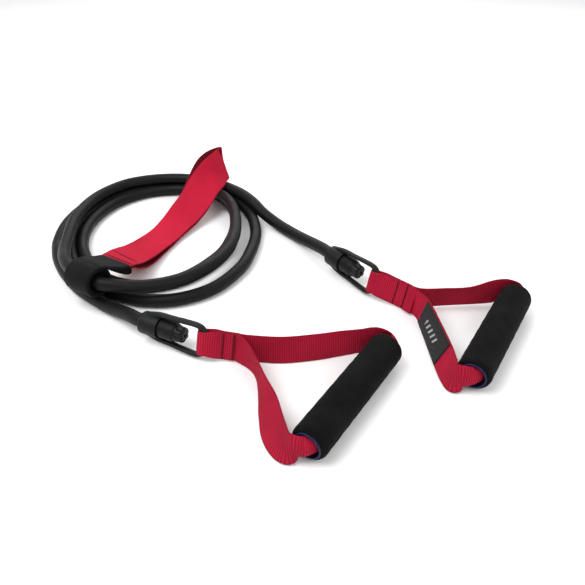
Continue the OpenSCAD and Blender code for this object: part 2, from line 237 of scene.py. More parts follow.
def calc(tree, operation, a, b=0.0):
    node = tree.nodes.new("ShaderNodeMath")
    node.operation = operation
    connect(tree, node.inputs[0], a)
    connect(tree, node.inputs[1], b)
    return node.outputs[0]


def spread(tree, value, low, high, outLow=0.0, outHigh=1.0):
    node = tree.nodes.new("ShaderNodeMapRange")
    for k, v in enumerate((value, low, high, outLow, outHigh)):
        connect(tree, node.inputs[k], v)
    return node.outputs[0]


def mixed(tree, fac, a, b, kind="MIX"):
    node = tree.nodes.new("ShaderNodeMix")
    node.data_type = "RGBA"
    node.blend_type = kind
    connect(tree, node.inputs[0], fac)
    connect(tree, node.inputs[6], a)
    connect(tree, node.inputs[7], b)
    return node.outputs[2]


def cloud(tree, scale, detail=3.0, rough=0.5, vector=None):
    node = tree.nodes.new("ShaderNodeTexNoise")
    connect(tree, node.inputs["Scale"], scale)
    node.inputs["Detail"].default_value = detail
    node.inputs["Roughness"].default_value = rough
    tree.links.new(vector or tree.nodes.new("ShaderNodeTexCoord").outputs["Object"], node.inputs["Vector"])
    return node.outputs[0]


def buildFinish():
    # cloudy colour, and gloss that handling has made uneven
    tree, given, out = newGroup("handled finish", [
        ("Dark", "Color", (0, 0, 0)), ("Light", "Color", (0.1, 0.1, 0.1)), ("Cloud Scale", "Float", 20.0),
        ("Rub Scale", "Float", 90.0), ("Smooth", "Float", 0.35), ("Rough", "Float", 0.5)],
        [("Color", "Color"), ("Roughness", "Float")])
    patch = spread(tree, cloud(tree, given["Cloud Scale"], 4), 0.36, 0.64)
    speck = spread(tree, cloud(tree, calc(tree, "MULTIPLY", given["Rub Scale"], 6.0), 2), 0.62, 0.78)
    base = mixed(tree, patch, given["Dark"], given["Light"])
    flecks = calc(tree, "MULTIPLY", speck, 0.35)
    tree.links.new(mixed(tree, flecks, base, given["Light"], "ADD"), out["Color"])
    rub = cloud(tree, given["Rub Scale"], 5, 0.65)
    tree.links.new(spread(tree, rub, 0.3, 0.7, given["Smooth"], given["Rough"]), out["Roughness"])
    return tree


def buildGrain():
    # fine relief: leathery noise, or the open cells of a foam
    tree, given, out = newGroup("fine grain", [("Scale", "Float", 900.0), ("Pores", "Float", 0.0)],
                                [("Height", "Float")])
    cell = tree.nodes.new("ShaderNodeTexVoronoi")
    tree.links.new(given["Scale"], cell.inputs["Scale"])
    tree.links.new(tree.nodes.new("ShaderNodeTexCoord").outputs["Object"], cell.inputs["Vector"])
    pore = calc(tree, "MULTIPLY", spread(tree, cell.outputs[0], 0.0, 0.6), given["Pores"])
    leather = cloud(tree, given["Scale"], 2)
    plain = calc(tree, "MULTIPLY", leather, calc(tree, "SUBTRACT", 1.0, given["Pores"]))
    tree.links.new(calc(tree, "ADD", pore, plain), out["Height"])
    return tree


def buildWeave():
    # ribs across the webbing, yarns along it, painted shade in the grooves, selvedges darkened with the same
    # groove colour, loose fuzz, and painted shade on the inner face
    tree, given, out = newGroup("webbing weave", [
        ("Face", "Color", (0.5, 0, 0)), ("Groove", "Color", (0.2, 0, 0)), ("Yarn", "Float", 0.0013),
        ("Rib", "Float", 0.0019), ("Crossing", "Float", 0.35), ("Half Width", "Float", 0.0127),
        ("Inside Shade", "Float", 0.0)],
        [("Color", "Color"), ("Roughness", "Float"), ("Height", "Float")])
    place = tree.nodes.new("ShaderNodeAttribute")
    place.attribute_name = "weave"
    split = tree.nodes.new("ShaderNodeSeparateXYZ")
    tree.links.new(place.outputs["Vector"], split.inputs[0])
    across, along = split.outputs[0], split.outputs[1]
    turn = 2 * math.pi
    yarn = calc(tree, "SINE", calc(tree, "DIVIDE", calc(tree, "MULTIPLY", across, turn), given["Yarn"]))
    rib = calc(tree, "COSINE", calc(tree, "DIVIDE", calc(tree, "MULTIPLY", along, turn), given["Rib"]))
    fuzz = cloud(tree, 2600.0, 3)
    height = calc(tree, "ADD", calc(tree, "MULTIPLY", calc(tree, "MULTIPLY", yarn, rib), given["Crossing"]),
                  calc(tree, "MULTIPLY", rib, 0.5))
    height = calc(tree, "ADD", height, calc(tree, "MULTIPLY", fuzz, 0.7))
    tree.links.new(height, out["Height"])
    # painted shade: the low parts of the weave take the darker Groove colour, the high parts the Face colour
    base = mixed(tree, spread(tree, height, -0.5, 0.9), given["Groove"], given["Face"])
    fadeAndInsideShade = mixed(tree, 1.0, base, spread(tree, cloud(tree, 28.0, 4), 0.35, 0.7, 0.84, 1.08), "MULTIPLY")
    # painted shade: the webbing's inner face (weave z below 0) is darkened by the Inside Shade amount, on
    # top of the random fade
    inside = calc(tree, "MULTIPLY", calc(tree, "LESS_THAN", split.outputs[2], 0.0), given["Inside Shade"])
    fadeAndInsideShade = mixed(tree, 1.0, fadeAndInsideShade, calc(tree, "SUBTRACT", 1.0, inside), "MULTIPLY")
    inset = calc(tree, "SUBTRACT", given["Half Width"], calc(tree, "ABSOLUTE", across))
    selvedge = spread(tree, inset, 0.0016, 0.0004, 0.0, 0.5)
    tree.links.new(mixed(tree, selvedge, fadeAndInsideShade, given["Groove"]), out["Color"])
    tree.links.new(spread(tree, fuzz, 0.3, 0.7, 0.72, 0.92), out["Roughness"])
    return tree


finishGroup, grainGroup, weaveGroup = buildFinish(), buildGrain(), buildWeave()


def addGroup(tree, group, values):
    node = tree.nodes.new("ShaderNodeGroup")
    node.node_tree = group
    for label, value in values.items():
        connect(tree, node.inputs[label], value)
    return node.outputs


def newMaterial(name, s):
    mat = bpy.data.materials.new(name)
    mat.use_nodes = True
    tree = mat.node_tree
    shader = tree.nodes["Principled BSDF"]
    shader.inputs["Specular IOR Level"].default_value = s.get("specular", 0.3)
    shader.inputs["Sheen Weight"].default_value = s.get("sheen", 0.0)
    shader.inputs["Sheen Roughness"].default_value = 0.5
    return mat, tree, shader


def addBump(tree, shader, height, s):
    node = tree.nodes.new("ShaderNodeBump")
    node.inputs["Strength"].default_value = s["strength"]
    node.inputs["Distance"].default_value = s["depth"]
    tree.links.new(height, node.inputs["Height"])
    tree.links.new(node.outputs[0], shader.inputs["Normal"])


def moulded(name, s):
    mat, tree, shader = newMaterial(name, s)
    smoothest, roughest = s["rough"]
    skin = addGroup(tree, finishGroup, {"Dark": s["dark"], "Light": s["light"], "Cloud Scale": s["cloud"],
                                        "Rub Scale": s["rub"], "Smooth": smoothest, "Rough": roughest})
    tree.links.new(skin["Color"], shader.inputs["Base Color"])
    tree.links.new(skin["Roughness"], shader.inputs["Roughness"])
    grain = addGroup(tree, grainGroup, {"Scale": s["grain"], "Pores": s.get("pores", 0.0)})
    addBump(tree, shader, grain["Height"], s)
    return mat


def woven(name, s):
    mat, tree, shader = newMaterial(name, s)
    cloth = addGroup(tree, weaveGroup, {"Face": s["face"], "Groove": s["groove"], "Yarn": s["yarn"],
                                        "Rib": s["rib"], "Crossing": s["crossing"], "Half Width": s["half"],
                                        "Inside Shade": s.get("insideShade", 0.0)})
    tree.links.new(cloth["Color"], shader.inputs["Base Color"])
    tree.links.new(cloth["Roughness"], shader.inputs["Roughness"])
    shader.inputs["Sheen Tint"].default_value = (*s["face"], 1)
    addBump(tree, shader, cloth["Height"], s)
    return mat


rubber = moulded("rubber", {
    "dark": (0.0036, 0.0034, 0.0041), "light": (0.0068, 0.0063, 0.0074), "cloud": 16.0, "rub": 60.0,
    "rough": (0.4, 0.56), "grain": 900.0, "depth": 0.0002, "strength": 0.12, "specular": 0.14})
plugRubber = moulded("plug plastic", {
    "dark": (0.0026, 0.0026, 0.003), "light": (0.006, 0.006, 0.007), "cloud": 60.0, "rub": 160.0,
    "rough": (0.34, 0.5), "grain": 1100.0, "depth": 0.0002, "strength": 0.15, "specular": 0.18})
linkPlastic = moulded("link plastic", {
    "dark": (0.0042, 0.0052, 0.0045), "light": (0.0078, 0.0092, 0.0082), "cloud": 35.0, "rub": 120.0,
    "rough": (0.4, 0.54), "grain": 1500.0, "depth": 0.0002, "strength": 0.12, "specular": 0.16})
foam = moulded("foam", {
    "dark": (0.003, 0.003, 0.0032), "light": (0.006, 0.006, 0.0063), "cloud": 40.0, "rub": 200.0,
    "rough": (0.84, 0.96), "grain": 950.0, "depth": 0.0004, "strength": 0.3, "specular": 0.07,
    "sheen": 0.012, "pores": 1.0})
bluePlastic = moulded("handle tube plastic", {
    "dark": (0.004, 0.006, 0.03), "light": (0.006, 0.009, 0.048), "cloud": 25.0, "rub": 90.0,
    "rough": (0.3, 0.42), "grain": 1400.0, "depth": 0.0001, "strength": 0.08, "specular": 0.2})
neoprene = moulded("neoprene", {
    "dark": (0.0028, 0.0029, 0.0034), "light": (0.0054, 0.0056, 0.0064), "cloud": 30.0, "rub": 140.0,
    "rough": (0.6, 0.76), "grain": 1700.0, "depth": 0.0002, "strength": 0.2, "specular": 0.09,
    "sheen": 0.012, "pores": 0.7})
thread = moulded("thread", {
    "dark": (0.004, 0.003, 0.0035), "light": (0.011, 0.006, 0.007), "cloud": 300.0, "rub": 600.0,
    "rough": (0.65, 0.85), "grain": 3200.0, "depth": 0.0003, "strength": 0.5, "specular": 0.2})
# the groove colours are painted shade for the low parts of the weave, and are also mixed in at the selvedges
webbing = woven("handle webbing", {
    "face": (0.46, 0.010, 0.040), "groove": (0.15, 0.002, 0.010), "yarn": 0.0013, "rib": 0.0019,
    "crossing": 0.35, "half": 0.0127, "depth": 0.00035, "strength": 0.6, "specular": 0.12, "sheen": 0.12})
anchorWebbing = woven("anchor webbing", {
    "face": (0.54, 0.011, 0.042), "groove": (0.28, 0.004, 0.018), "yarn": 0.0011, "rib": 0.0012,
    "crossing": 0.5, "half": 0.019, "insideShade": 0.8, "depth": 0.0002, "strength": 0.5, "specular": 0.12,
    "sheen": 0.15})
print("materials made")


camData = bpy.data.cameras.new("camera")
camData.lens = 38.15
camData.sensor_width = 36
camera = bpy.data.objects.new("camera", camData)
camera.location = (-0.004, -0.50004, 0.34789)
camera.rotation_euler = (math.radians(55), 0, 0)
bpy.context.scene.collection.objects.link(camera)
bpy.context.scene.camera = camera


# a and b are the half axes of the coil's middle line; tab holds two rows of sewing and the tab's end
coil = {"middle": Vector((-0.150, 0.108, 0.0)), "a": 0.096, "b": 0.120}
leftLink = {"mouth": Vector((-0.130, -0.067, 0.016)), "heading": -27, "swing": 20,
            "tab": (0.017, 0.026, 0.029)}
rightLink = {"mouth": Vector((0.0397, 0.0449, 0.016)), "heading": -52, "swing": 14,
             "tab": (0.025, 0.035, 0.039)}

# tube centre: degrees round the coil, mm outside its middle line, mm above the floor
lay = [
    (28, 11.5, 6.4), (37, 8.6, 6.4), (51, 6.8, 6.4), (63, 7.4, 6.4), (72, 8.2, 6.4), (81, 9.5, 6.4),
    (96, 11.5, 6.4), (111, 13, 6.4), (127, 14.4, 6.4), (142, 14.4, 6.4), (160, 14, 6.4), (180, 14, 6.4),
    (200, 13, 6.4), (219, 10.5, 6.4), (233, 9, 6.4), (246, 10, 6.4), (258, 11.6, 6.4), (274, 13.6, 6.4),
    (291, 15.8, 6.4), (303, 18.7, 6.4), (318, 21, 6.4), (330, 20, 6.4), (342, 16.4, 6.4),
    (354, 10.9, 6.4), (362, 6.3, 6.4), (371, 2, 6.4), (381, -1.2, 6.4), (392, -3.2, 6.4), (411, -6, 6.4),
    (425, -5.4, 6.4), (441, -3.4, 6.4), (456, -1.3, 6.4), (471, 0.2, 6.4), (487, 1.5, 6.4),
    (502, 1.5, 6.4), (520, 1.2, 6.4), (540, 1.1, 6.4), (560, 0.1, 6.4), (577, -2.2, 6.4),
    (592, -4.2, 6.4), (606, -6.6, 6.4), (622, -10, 6.4), (640, -12.4, 6.4), (660, -13.4, 6.4),
    (690, -13.4, 6.4), (720, -13.6, 6.4), (745, -15.6, 6.4), (765, -18.6, 6.4), (785, -18, 6.4),
    (801, -16.3, 6.4), (816, -14.2, 6.4), (831, -12.7, 6.4), (847, -11.4, 6.4), (862, -11.4, 6.4),
    (880, -11.7, 6.4), (900, -11.8, 6.6), (914, -12.4, 8.4), (926, -12.9, 12), (938, -12.4, 15.8),
    (952, -11.4, 18.6), (966, -10.4, 19.2), (981, -9.6, 19.2), (999, -6.6, 19.2), (1010, -3.6, 19.3),
    (1020, 0, 19.4), (1034, 3.6, 19.6), (1048, 7, 20.2), (1060, 9.8, 21.2), (1072, 12.2, 23),
    (1082, 14.6, 25.6), (1092, 18, 28.4)]
lay2 = [
    (1113, 12.4, 28.6), (1121, 8.6, 27), (1130, 4, 24.2), (1140, -0.6, 21.4), (1150, -4, 19.6),
    (1161, -5.2, 19.2), (1174, -4, 19.2), (1190, -2.4, 19.2), (1205, -1, 19.2), (1222, -1, 19.2),
    (1235, -3, 19), (1250, -4.6, 18.6), (1266, -4.6, 18.6), (1280, -3, 19), (1292, -0.4, 19.3),
    (1301, 2.4, 19.4), (1308, 5, 19.5), (1314, 8, 19.4)]


def onCoil(row):
    angle, out, height = row
    f = math.radians(angle)
    return [coil["middle"].x - (coil["a"] + out / 1000) * math.sin(f),
            coil["middle"].y - (coil["b"] + out / 1000) * math.cos(f), height / 1000]


leftTail = [
    [-0.1300, -0.0670, 0.0160], [-0.1385, -0.0610, 0.0150], [-0.1470, -0.0525, 0.0126],
    [-0.1600, -0.0410, 0.0090], [-0.1720, -0.0315, 0.0066], [-0.1840, -0.0220, 0.0064]]
throughSleeve = [[-0.1795, -0.0243, 0.0290], [-0.1905, -0.0175, 0.0290], [-0.2015, -0.0106, 0.0290]]
rightTail = [
    [-0.0605, 0.1775, 0.0192], [-0.0520, 0.1665, 0.0188], [-0.0435, 0.1555, 0.0168],
    [-0.0345, 0.1435, 0.0125], [-0.0180, 0.1260, 0.0078], [-0.0036, 0.1100, 0.0066],
    [0.0095, 0.0925, 0.0082], [0.0220, 0.0745, 0.0114], [0.0320, 0.0580, 0.0148],
    [0.0397, 0.0449, 0.0160]]
tubeKnots = leftTail + [onCoil(r) for r in lay] + throughSleeve + [onCoil(r) for r in lay2] + rightTail
tubeRows, tubeLength = evenRows(smoothRows(tubeKnots, 10), 0.003)
tubePath = [Vector(r) + layoutShift for r in tubeRows]

bm = bmesh.new()
weaveLayer = bm.verts.layers.float_vector.new("weave")
roundSweep(bm, tubePath, tubeRadius, 28, layer=weaveLayer)
tube = finishMesh("tube", bm, rubber, "cord", ("tube_coil", "tube_left", "tube_right"))
print("tube laid, %.3f m" % tubeLength)


# barrel, bar, swellL and head are lengths along the connector; barrelR, barR, swell and stem are radii;
# armZ is how far out the arms run, armFlat their thickness beside the bar's, roll is in degrees
connector = {"barrel": 0.019, "barrelR": 0.0102, "bar": 0.062, "barR": 0.0035, "armZ": 0.0116,
             "armFlat": 0.62, "swell": 0.0087, "swellL": 0.016, "head": 0.0075, "stem": 0.0073,
             "flute": 0.0012, "roll": 15}


def linkPlace(link):
    place = Matrix.Translation(link["mouth"] + layoutShift)
    turn = Matrix.Rotation(math.radians(link["heading"]), 4, "Z")
    return place @ turn @ Matrix.Rotation(-math.radians(connector["roll"]), 4, "X")


def makeLink(side, link):
    place = linkPlace(link)
    c = connector
    seat = c["swell"] + clearance
    bore = tubeRadius + clearance
    # barrel, spun from its section
    bm = bmesh.new()
    shell = rounded([(0.0, bore), (0.0, c["barrelR"]), (c["barrel"], c["barrelR"]), (c["barrel"], seat),
                     (c["barrel"] - 0.0006, seat), (0.012, bore), (0.0, bore)], 0.0016)
    turned(bm, shell, place)
    # loop: one arm out, round the bar and back along the other arm
    half = [(0.005, 0.0088), (0.011, 0.0104), (0.018, c["armZ"]), (0.030, 0.0121), (0.042, 0.0130),
            (0.053, 0.0135), (0.0588, 0.0127), (0.0614, 0.0098), (c["bar"], 0.0060), (c["bar"], 0.0)]
    knots = [[x, 0, z] for x, z in half] + [[x, 0, -z] for x, z in reversed(half[:-1])]
    rows = evenRows(smoothRows(knots, 8), 0.0011)[0]
    pts = [place @ Vector(r) for r in rows]
    squash = []
    for r in rows:
        # flat arms turn into a round bar
        toBar = min(1.0, max(0.0, (0.0125 - abs(r[2])) / 0.003)) if r[0] > 0.055 else 0.0
        squash.append((1.0, c["armFlat"] + (1 - c["armFlat"]) * toBar))
    across = place.to_3x3() @ Vector((0, 0, 1))
    roundSweep(bm, pts, c["barR"], 20, squash=squash, upHint=across)
    # web where each arm leaves the barrel
    for s in (-1, 1):
        webLine = ((0.003, 0.0085), (0.009, 0.0090), (0.016, 0.0103), (0.024, c["armZ"]))
        web = [place @ Vector((x, 0, s * z)) for x, z in webLine]
        roundSweep(bm, web, [0.0028, 0.0036, 0.0034, 0.0022], 16, squash=[(1.05, 0.7)] * 4, upHint=across)
    finishMesh("connector_" + side, bm, linkPlastic, "link_" + side, ("link_" + side,))
    # tube end, swollen round the plug
    bm = bmesh.new()
    x0 = c["barrel"] + 0.001
    x1 = x0 + c["swellL"]
    ends = rounded([(0.0, 0.0032), (0.0, tubeRadius), (x0 - 0.007, tubeRadius),
                    (x0 - 0.0005, c["swell"] - 0.0001), (x1 - 0.0025, c["swell"]), (x1, c["swell"] - 0.0012),
                    (x1, c["stem"] + 0.0001), (x0 + 0.001, c["stem"] + 0.0001)], 0.0022, 5)
    turned(bm, ends, place)
    finishMesh("tube_mouth_" + side, bm, rubber, "cord", ("tube_end_" + side,))
    # plug head: six flutes, rounded end, small hole
    bm = bmesh.new()
    sides = 72
    x2 = x1 + c["head"]
    # along, radius, how deep the flutes are there
    profile = [(x1 - 0.012, 0.0060, 0.0), (x1 - 0.0005, c["stem"], 0.0),
               (x1 + 0.0006, c["stem"] + 0.0002, 0.0),
               (x1 + 0.0012, c["stem"] + 0.0001, 0.25), (x1 + 0.0019, c["stem"], 1.0),
               (x1 + 0.004, c["stem"], 1.0), (x2 - 0.002, c["stem"] - 0.0002, 1.0),
               (x2 - 0.0008, c["stem"] - 0.0007, 1.0), (x2 - 0.0001, c["stem"] - 0.0016, 0.8),
               (x2, 0.0030, 0.2), (x2, 0.0018, 0.0), (x2 - 0.0005, 0.0014, 0.0), (x2 - 0.004, 0.0013, 0.0)]
    rings = []
    for x, r, deep in profile:
        ring = []
        for k in range(sides):
            a = 2 * math.pi * k / sides
            dip = max(0.0, math.cos(3 * (a - math.pi / 6)) ** 2 - 0.45) / 0.55
            rr = r - c["flute"] * deep * dip
            ring.append(bm.verts.new(place @ Vector((x, rr * math.sin(a), rr * math.cos(a)))))
        rings.append(ring)
    sweepRings(bm, rings)
    finishMesh("plug_head_" + side, bm, plugRubber, "cord", ("plug_" + side,))


makeLink("left", leftLink)
makeLink("right", rightLink)
print("connectors made")


# foam length and radius, core radius and bore, how far the core stands out, the foam's rounded rim
handle = {"length": 0.126, "radius": 0.0145, "coreR": 0.0114, "bore": 0.0099, "out": 0.0015,
          "rimL": 0.0042, "rimR": 0.0028}
leftGrip = {"middle": Vector((0.0446, -0.1529, 0.0146)), "heading": 57}
rightGrip = {"middle": Vector((0.1748, -0.0810, 0.0146)), "heading": 58.5}


def makeHandle(side, grip):
    place = Matrix.Translation(grip["middle"] + layoutShift)
    place = place @ Matrix.Rotation(math.radians(grip["heading"]), 4, "Z")
    h = handle["length"] / 2
    r, inner = handle["radius"], handle["coreR"]
    rimL, rimR = handle["rimL"], handle["rimR"]
    bm = bmesh.new()
    turns = [math.radians(a) for a in range(90, -1, -15)]
    half = [(h, inner)] + [(h - rimL + rimL * math.sin(a), r - rimR + rimR * math.cos(a)) for a in turns]
    body = [(h * k / 12, r + 0.00012 * math.sin(k * 2.1)) for k in range(11, -12, -1)]  # uneven foam
    profile = half + body + [(-x, y) for x, y in reversed(half)]
    turned(bm, profile + [profile[0]], place, 72)
    finishMesh("grip_foam_" + side, bm, foam, "grip_" + side, ("foam_grip_" + side,))
    e = h + handle["out"]
    b = handle["bore"]
    bm = bmesh.new()
    rim = rounded([(0, b), (e, b), (e, inner), (0, inner)], 0.0006, 3)
    profile = rim[1:-1] + [(-x, y) for x, y in reversed(rim[1:-1])]
    turned(bm, profile + [profile[0]], place, 72)
    finishMesh("handle_tube_" + side, bm, bluePlastic, "grip_" + side, ("handle_core_" + side,))


makeHandle("left", leftGrip)
makeHandle("right", rightGrip)
print("handles made")


strap = {"thick": 0.0015, "segments": 14, "ring": 0.00048, "pitch": 0.0019, "ribDepth": 0.00011}
webWidth = 0.0254
barWidth = 0.0214  # where the webbing goes round the bar
wrapRadius = connector["barR"] + clearance + webHalf
curlRadius = handle["bore"] - clearance - webHalf - 0.0004  # curled inside the bore, a little loose
lap = 0.00085  # each of the tab's two layers lies this far off its middle


def flatDir(az):
    return Vector((math.cos(math.radians(az)), math.sin(math.radians(az)), 0))


def leftDir(az):
    return Vector((-math.sin(math.radians(az)), math.cos(math.radians(az)), 0))


def tabFrame(link):
    roll = math.radians(connector["roll"])
    bar = math.cos(roll) * Vector((0, 0, 1)) + math.sin(roll) * leftDir(link["heading"])
    out = flatDir(link["heading"])
    swing = math.radians(link["swing"])
    along = math.cos(swing) * out + math.sin(swing) * bar.cross(out)
    return link["mouth"] + connector["bar"] * out, along, along.cross(bar), bar


def tabRow(link, x, side, width):
    # x from the bar along the tab, side off its middle
    at, along, out, bar = tabFrame(link)
    p = at + x * along + side * out
    return [*p, *bar, 0.0, width]


def barWrap(link):
    # in along one layer of the tab, round the bar and back along the other
    tab = link["tab"]
    rows = [tabRow(link, x, lap, webWidth) for x in (tab[2], tab[1], tab[0])]
    rows.append(tabRow(link, 0.0095, 0.62 * wrapRadius, webWidth - 0.001))
    for a in range(70, 291, 20):
        f = math.radians(a)
        rows.append(tabRow(link, wrapRadius * math.cos(f), wrapRadius * math.sin(f), barWidth))
    rows.append(tabRow(link, 0.0095, -0.62 * wrapRadius, webWidth - 0.001))
    return rows + [tabRow(link, x, -lap, webWidth) for x in tab]


def byGrip(grip, along, out, curl, width=webWidth):
    # along the handle from its middle, out to its right
    p = grip["middle"] + along * flatDir(grip["heading"]) - out * leftDir(grip["heading"])
    return [*p, 0, 0, 1, curl, width]


def gripRun(grip):
    # round the far mouth, through the bore curled to its wall, and out of the near mouth
    e = handle["length"] / 2 + handle["out"]
    c = curlRadius
    return [
        byGrip(grip, e - 0.007, -0.023, 0), byGrip(grip, e - 0.001, -0.0175, 0),
        byGrip(grip, e + 0.004, -0.0125, 16), byGrip(grip, e + 0.007, -0.0055, 38),
        byGrip(grip, e + 0.0075, 0.001, 59), byGrip(grip, e + 0.0055, 0.0055, 83),
        byGrip(grip, e + 0.002, c - 0.0003, 1 / (c + 0.0004)), byGrip(grip, e - 0.006, c, 1 / c),
        byGrip(grip, 0.020, c, 1 / c), byGrip(grip, -0.020, c, 1 / c), byGrip(grip, -e + 0.010, c, 1 / c),
        byGrip(grip, -e - 0.0005, 0.005, 120, 0.022), byGrip(grip, -e - 0.005, 0.0005, 91, 0.023),
        byGrip(grip, -e - 0.0075, -0.0055, 55, 0.0244)]


def leg(rows):
    return [[*p, *w, 0.0, webWidth] for p, w in rows]


leftFar = leg([
    ((-0.0360, -0.1005, 0.0136), (0, 0.17, 1)), ((-0.0080, -0.1025, 0.0133), (0, 0.17, 1)),
    ((0.0210, -0.0985, 0.0133), (0, 0.15, 1)), ((0.0400, -0.0945, 0.0136), (0, 0.1, 1))])
leftNear = leg([
    ((-0.0050, -0.2058, 0.0128), (0.25, 0.3, 1)), ((-0.0105, -0.1975, 0.0118), (0.6, 0.3, 1)),
    ((-0.0150, -0.1840, 0.0110), (0.8, 0.2, 1)), ((-0.0185, -0.1660, 0.0110), (0.65, 0.1, 1)),
    ((-0.0235, -0.1470, 0.0124), (0.25, 0, 1)), ((-0.0290, -0.1250, 0.0131), (0, 0, 1)),
    ((-0.0360, -0.1110, 0.0136), (0, 0.1, 1))])
rightFar = leg([
    ((0.1190, -0.0285, 0.0136), (0, -0.2, 1)), ((0.1380, -0.0265, 0.0133), (0, -0.28, 1)),
    ((0.1630, -0.0245, 0.0134), (0, -0.28, 1))])
rightNear = leg([
    ((0.1270, -0.1353, 0.0130), (0.2, 0.2, 1)), ((0.1250, -0.1260, 0.0126), (0.4, 0.1, 1)),
    ((0.1240, -0.1080, 0.0122), (0.5, 0, 1)), ((0.1215, -0.0780, 0.0124), (0.4, 0, 1)),
    ((0.1185, -0.0490, 0.0130), (0.28, 0, 1)), ((0.1140, -0.0370, 0.0134), (0.1, 0.1, 1))])
leftRows = leftFar + gripRun(leftGrip) + leftNear + barWrap(leftLink)
rightRows = rightFar + gripRun(rightGrip) + rightNear + barWrap(rightLink)
leftStrap, leftLength = ribbon("handle_strap_left", leftRows, strap, webbing, "handle_strap_left", True,
                               ("strap_left",))
rightStrap, rightLength = ribbon("handle_strap_right", rightRows, strap, webbing, "handle_strap_right", True,
                                 ("strap_right",))
print("handle straps %.3f and %.3f m" % (leftLength, rightLength))

# cut end of the webbing, folded back over the right tab
lapLift, lapRise = 0.00255, 0.0004  # it lies on the tab, and stands off more towards its end
lapRows = [tabRow(rightLink, x, lapLift + lapRise * k, 0.0250)
           for k, x in enumerate((0.0365, 0.0410, 0.0455))]
ribbon("lap_end_right", lapRows, strap, webbing, "handle_strap_right", False, ())


def stitchRow(bm, start, end, out, settings):
    # a row of short threads lying on the cloth
    span = end - start
    count = settings["count"]
    step = span / count
    for k in range(count):
        a = start + step * (k + 0.12)
        b = start + step * (k + 0.88)
        rise = out * settings["r"] * 0.5
        pts = [a - rise * 0.6, a + step * 0.1 + rise, (a + b) / 2 + rise * 1.3,
               b - step * 0.1 + rise, b - rise * 0.6]
        r = settings["r"]
        roundSweep(bm, pts, [r * 0.7, r, r, r, r * 0.7], 8, upHint=out)


tabSewing = {"count": 15, "r": 0.00046, "half": 0.0118, "lift": 0.00078}


def sewTab(side, link):
    # two rows across the tab, on both its faces
    at, along, out, bar = tabFrame(link)
    reach = bar * tabSewing["half"]
    bm = bmesh.new()
    for x in link["tab"][:2]:
        for face in (-1, 1):
            lift = face * (lap + tabSewing["lift"])
            mid = at + layoutShift + x * along + lift * out
            stitchRow(bm, mid - reach, mid + reach, out * face, tabSewing)
    finishMesh("tab_sewing_" + side, bm, thread, "handle_strap_" + side, ("stitches_" + side,))


sewTab("left", leftLink)
sewTab("right", rightLink)


# yarn steps across and along; the bars' half pitch, half width and slant; their field's half width,
# middle and half length
tag = {"thick": 0.0006, "segments": 8, "ring": 0.0015, "pitch": 0, "ribDepth": 0, "lift": -0.00128,
       "width": 0.024, "yarns": (0.0006, 0.0007), "bars": (0.0032, 0.0012, 0.5),
       "field": (0.0032, 0.031, 0.015)}


def labelCloth():
    mat, tree, shader = newMaterial("label", {"specular": 0.2, "sheen": 0.05})
    place = tree.nodes.new("ShaderNodeAttribute")
    place.attribute_name = "weave"
    split = tree.nodes.new("ShaderNodeSeparateXYZ")
    tree.links.new(place.outputs["Vector"], split.inputs[0])
    across, along = split.outputs[0], split.outputs[1]
    (yarnStep, pickStep), (halfPitch, halfBar, lean) = tag["yarns"], tag["bars"]
    fieldHalf, fieldMiddle, fieldLong = tag["field"]
    yarn = calc(tree, "SINE", calc(tree, "MULTIPLY", across, 2 * math.pi / yarnStep))
    pick = calc(tree, "SINE", calc(tree, "MULTIPLY", along, 2 * math.pi / pickStep))
    # a short row of slanted bars, a little off the middle
    slant = calc(tree, "ADD", along, calc(tree, "MULTIPLY", across, lean))
    isBar = calc(tree, "LESS_THAN", calc(tree, "PINGPONG", slant, halfPitch), halfBar)
    isInside = calc(tree, "LESS_THAN", calc(tree, "ABSOLUTE", calc(tree, "ADD", across, 0.001)), fieldHalf)
    offMiddle = calc(tree, "ABSOLUTE", calc(tree, "SUBTRACT", along, fieldMiddle))
    isLong = calc(tree, "LESS_THAN", offMiddle, fieldLong)
    mark = calc(tree, "MULTIPLY", calc(tree, "MULTIPLY", isBar, isInside), isLong)
    worn = calc(tree, "MULTIPLY", mark, spread(tree, cloud(tree, 900.0, 3), 0.3, 0.6, 0.5, 1.0))
    tree.links.new(mixed(tree, worn, (0.008, 0.008, 0.009), (0.4, 0.4, 0.39)), shader.inputs["Base Color"])
    tree.links.new(spread(tree, cloud(tree, 500.0, 3), 0.3, 0.7, 0.65, 0.85), shader.inputs["Roughness"])
    addBump(tree, shader, calc(tree, "MULTIPLY", yarn, pick), {"strength": 0.5, "depth": 0.00015})
    return mat


labelRows = [[*r[:7], tag["width"]] for r in rightNear[2:5]]
ribbon("label_cloth", labelRows, tag, labelCloth(), "handle_strap_right", False, ("woven_label",),
       20)


sleeve = {"middle": Vector((-0.1905, -0.0175, 0.029)), "heading": 148, "half": 0.016, "radius": 0.0155,
          "hole": 0.00675}
sleevePlace = Matrix.Translation(sleeve["middle"] + layoutShift)
sleevePlace = sleevePlace @ Matrix.Rotation(math.radians(sleeve["heading"]), 4, "Z")
bm = bmesh.new()
h, r, hole = sleeve["half"], sleeve["radius"], sleeve["hole"]
outer = rounded([(h, hole), (h, r - 0.0008), (0.005, r), (-0.006, r - 0.0002), (-h, r - 0.0006),
                 (-h, hole + 0.0042), (-h + 0.004, hole + 0.0035), (-h + 0.006, hole)], 0.003, 5)
turned(bm, outer + [(h, hole)], sleevePlace, 64)
finishMesh("sleeve_wrap", bm, neoprene, "anchor", ("anchor_sleeve",))


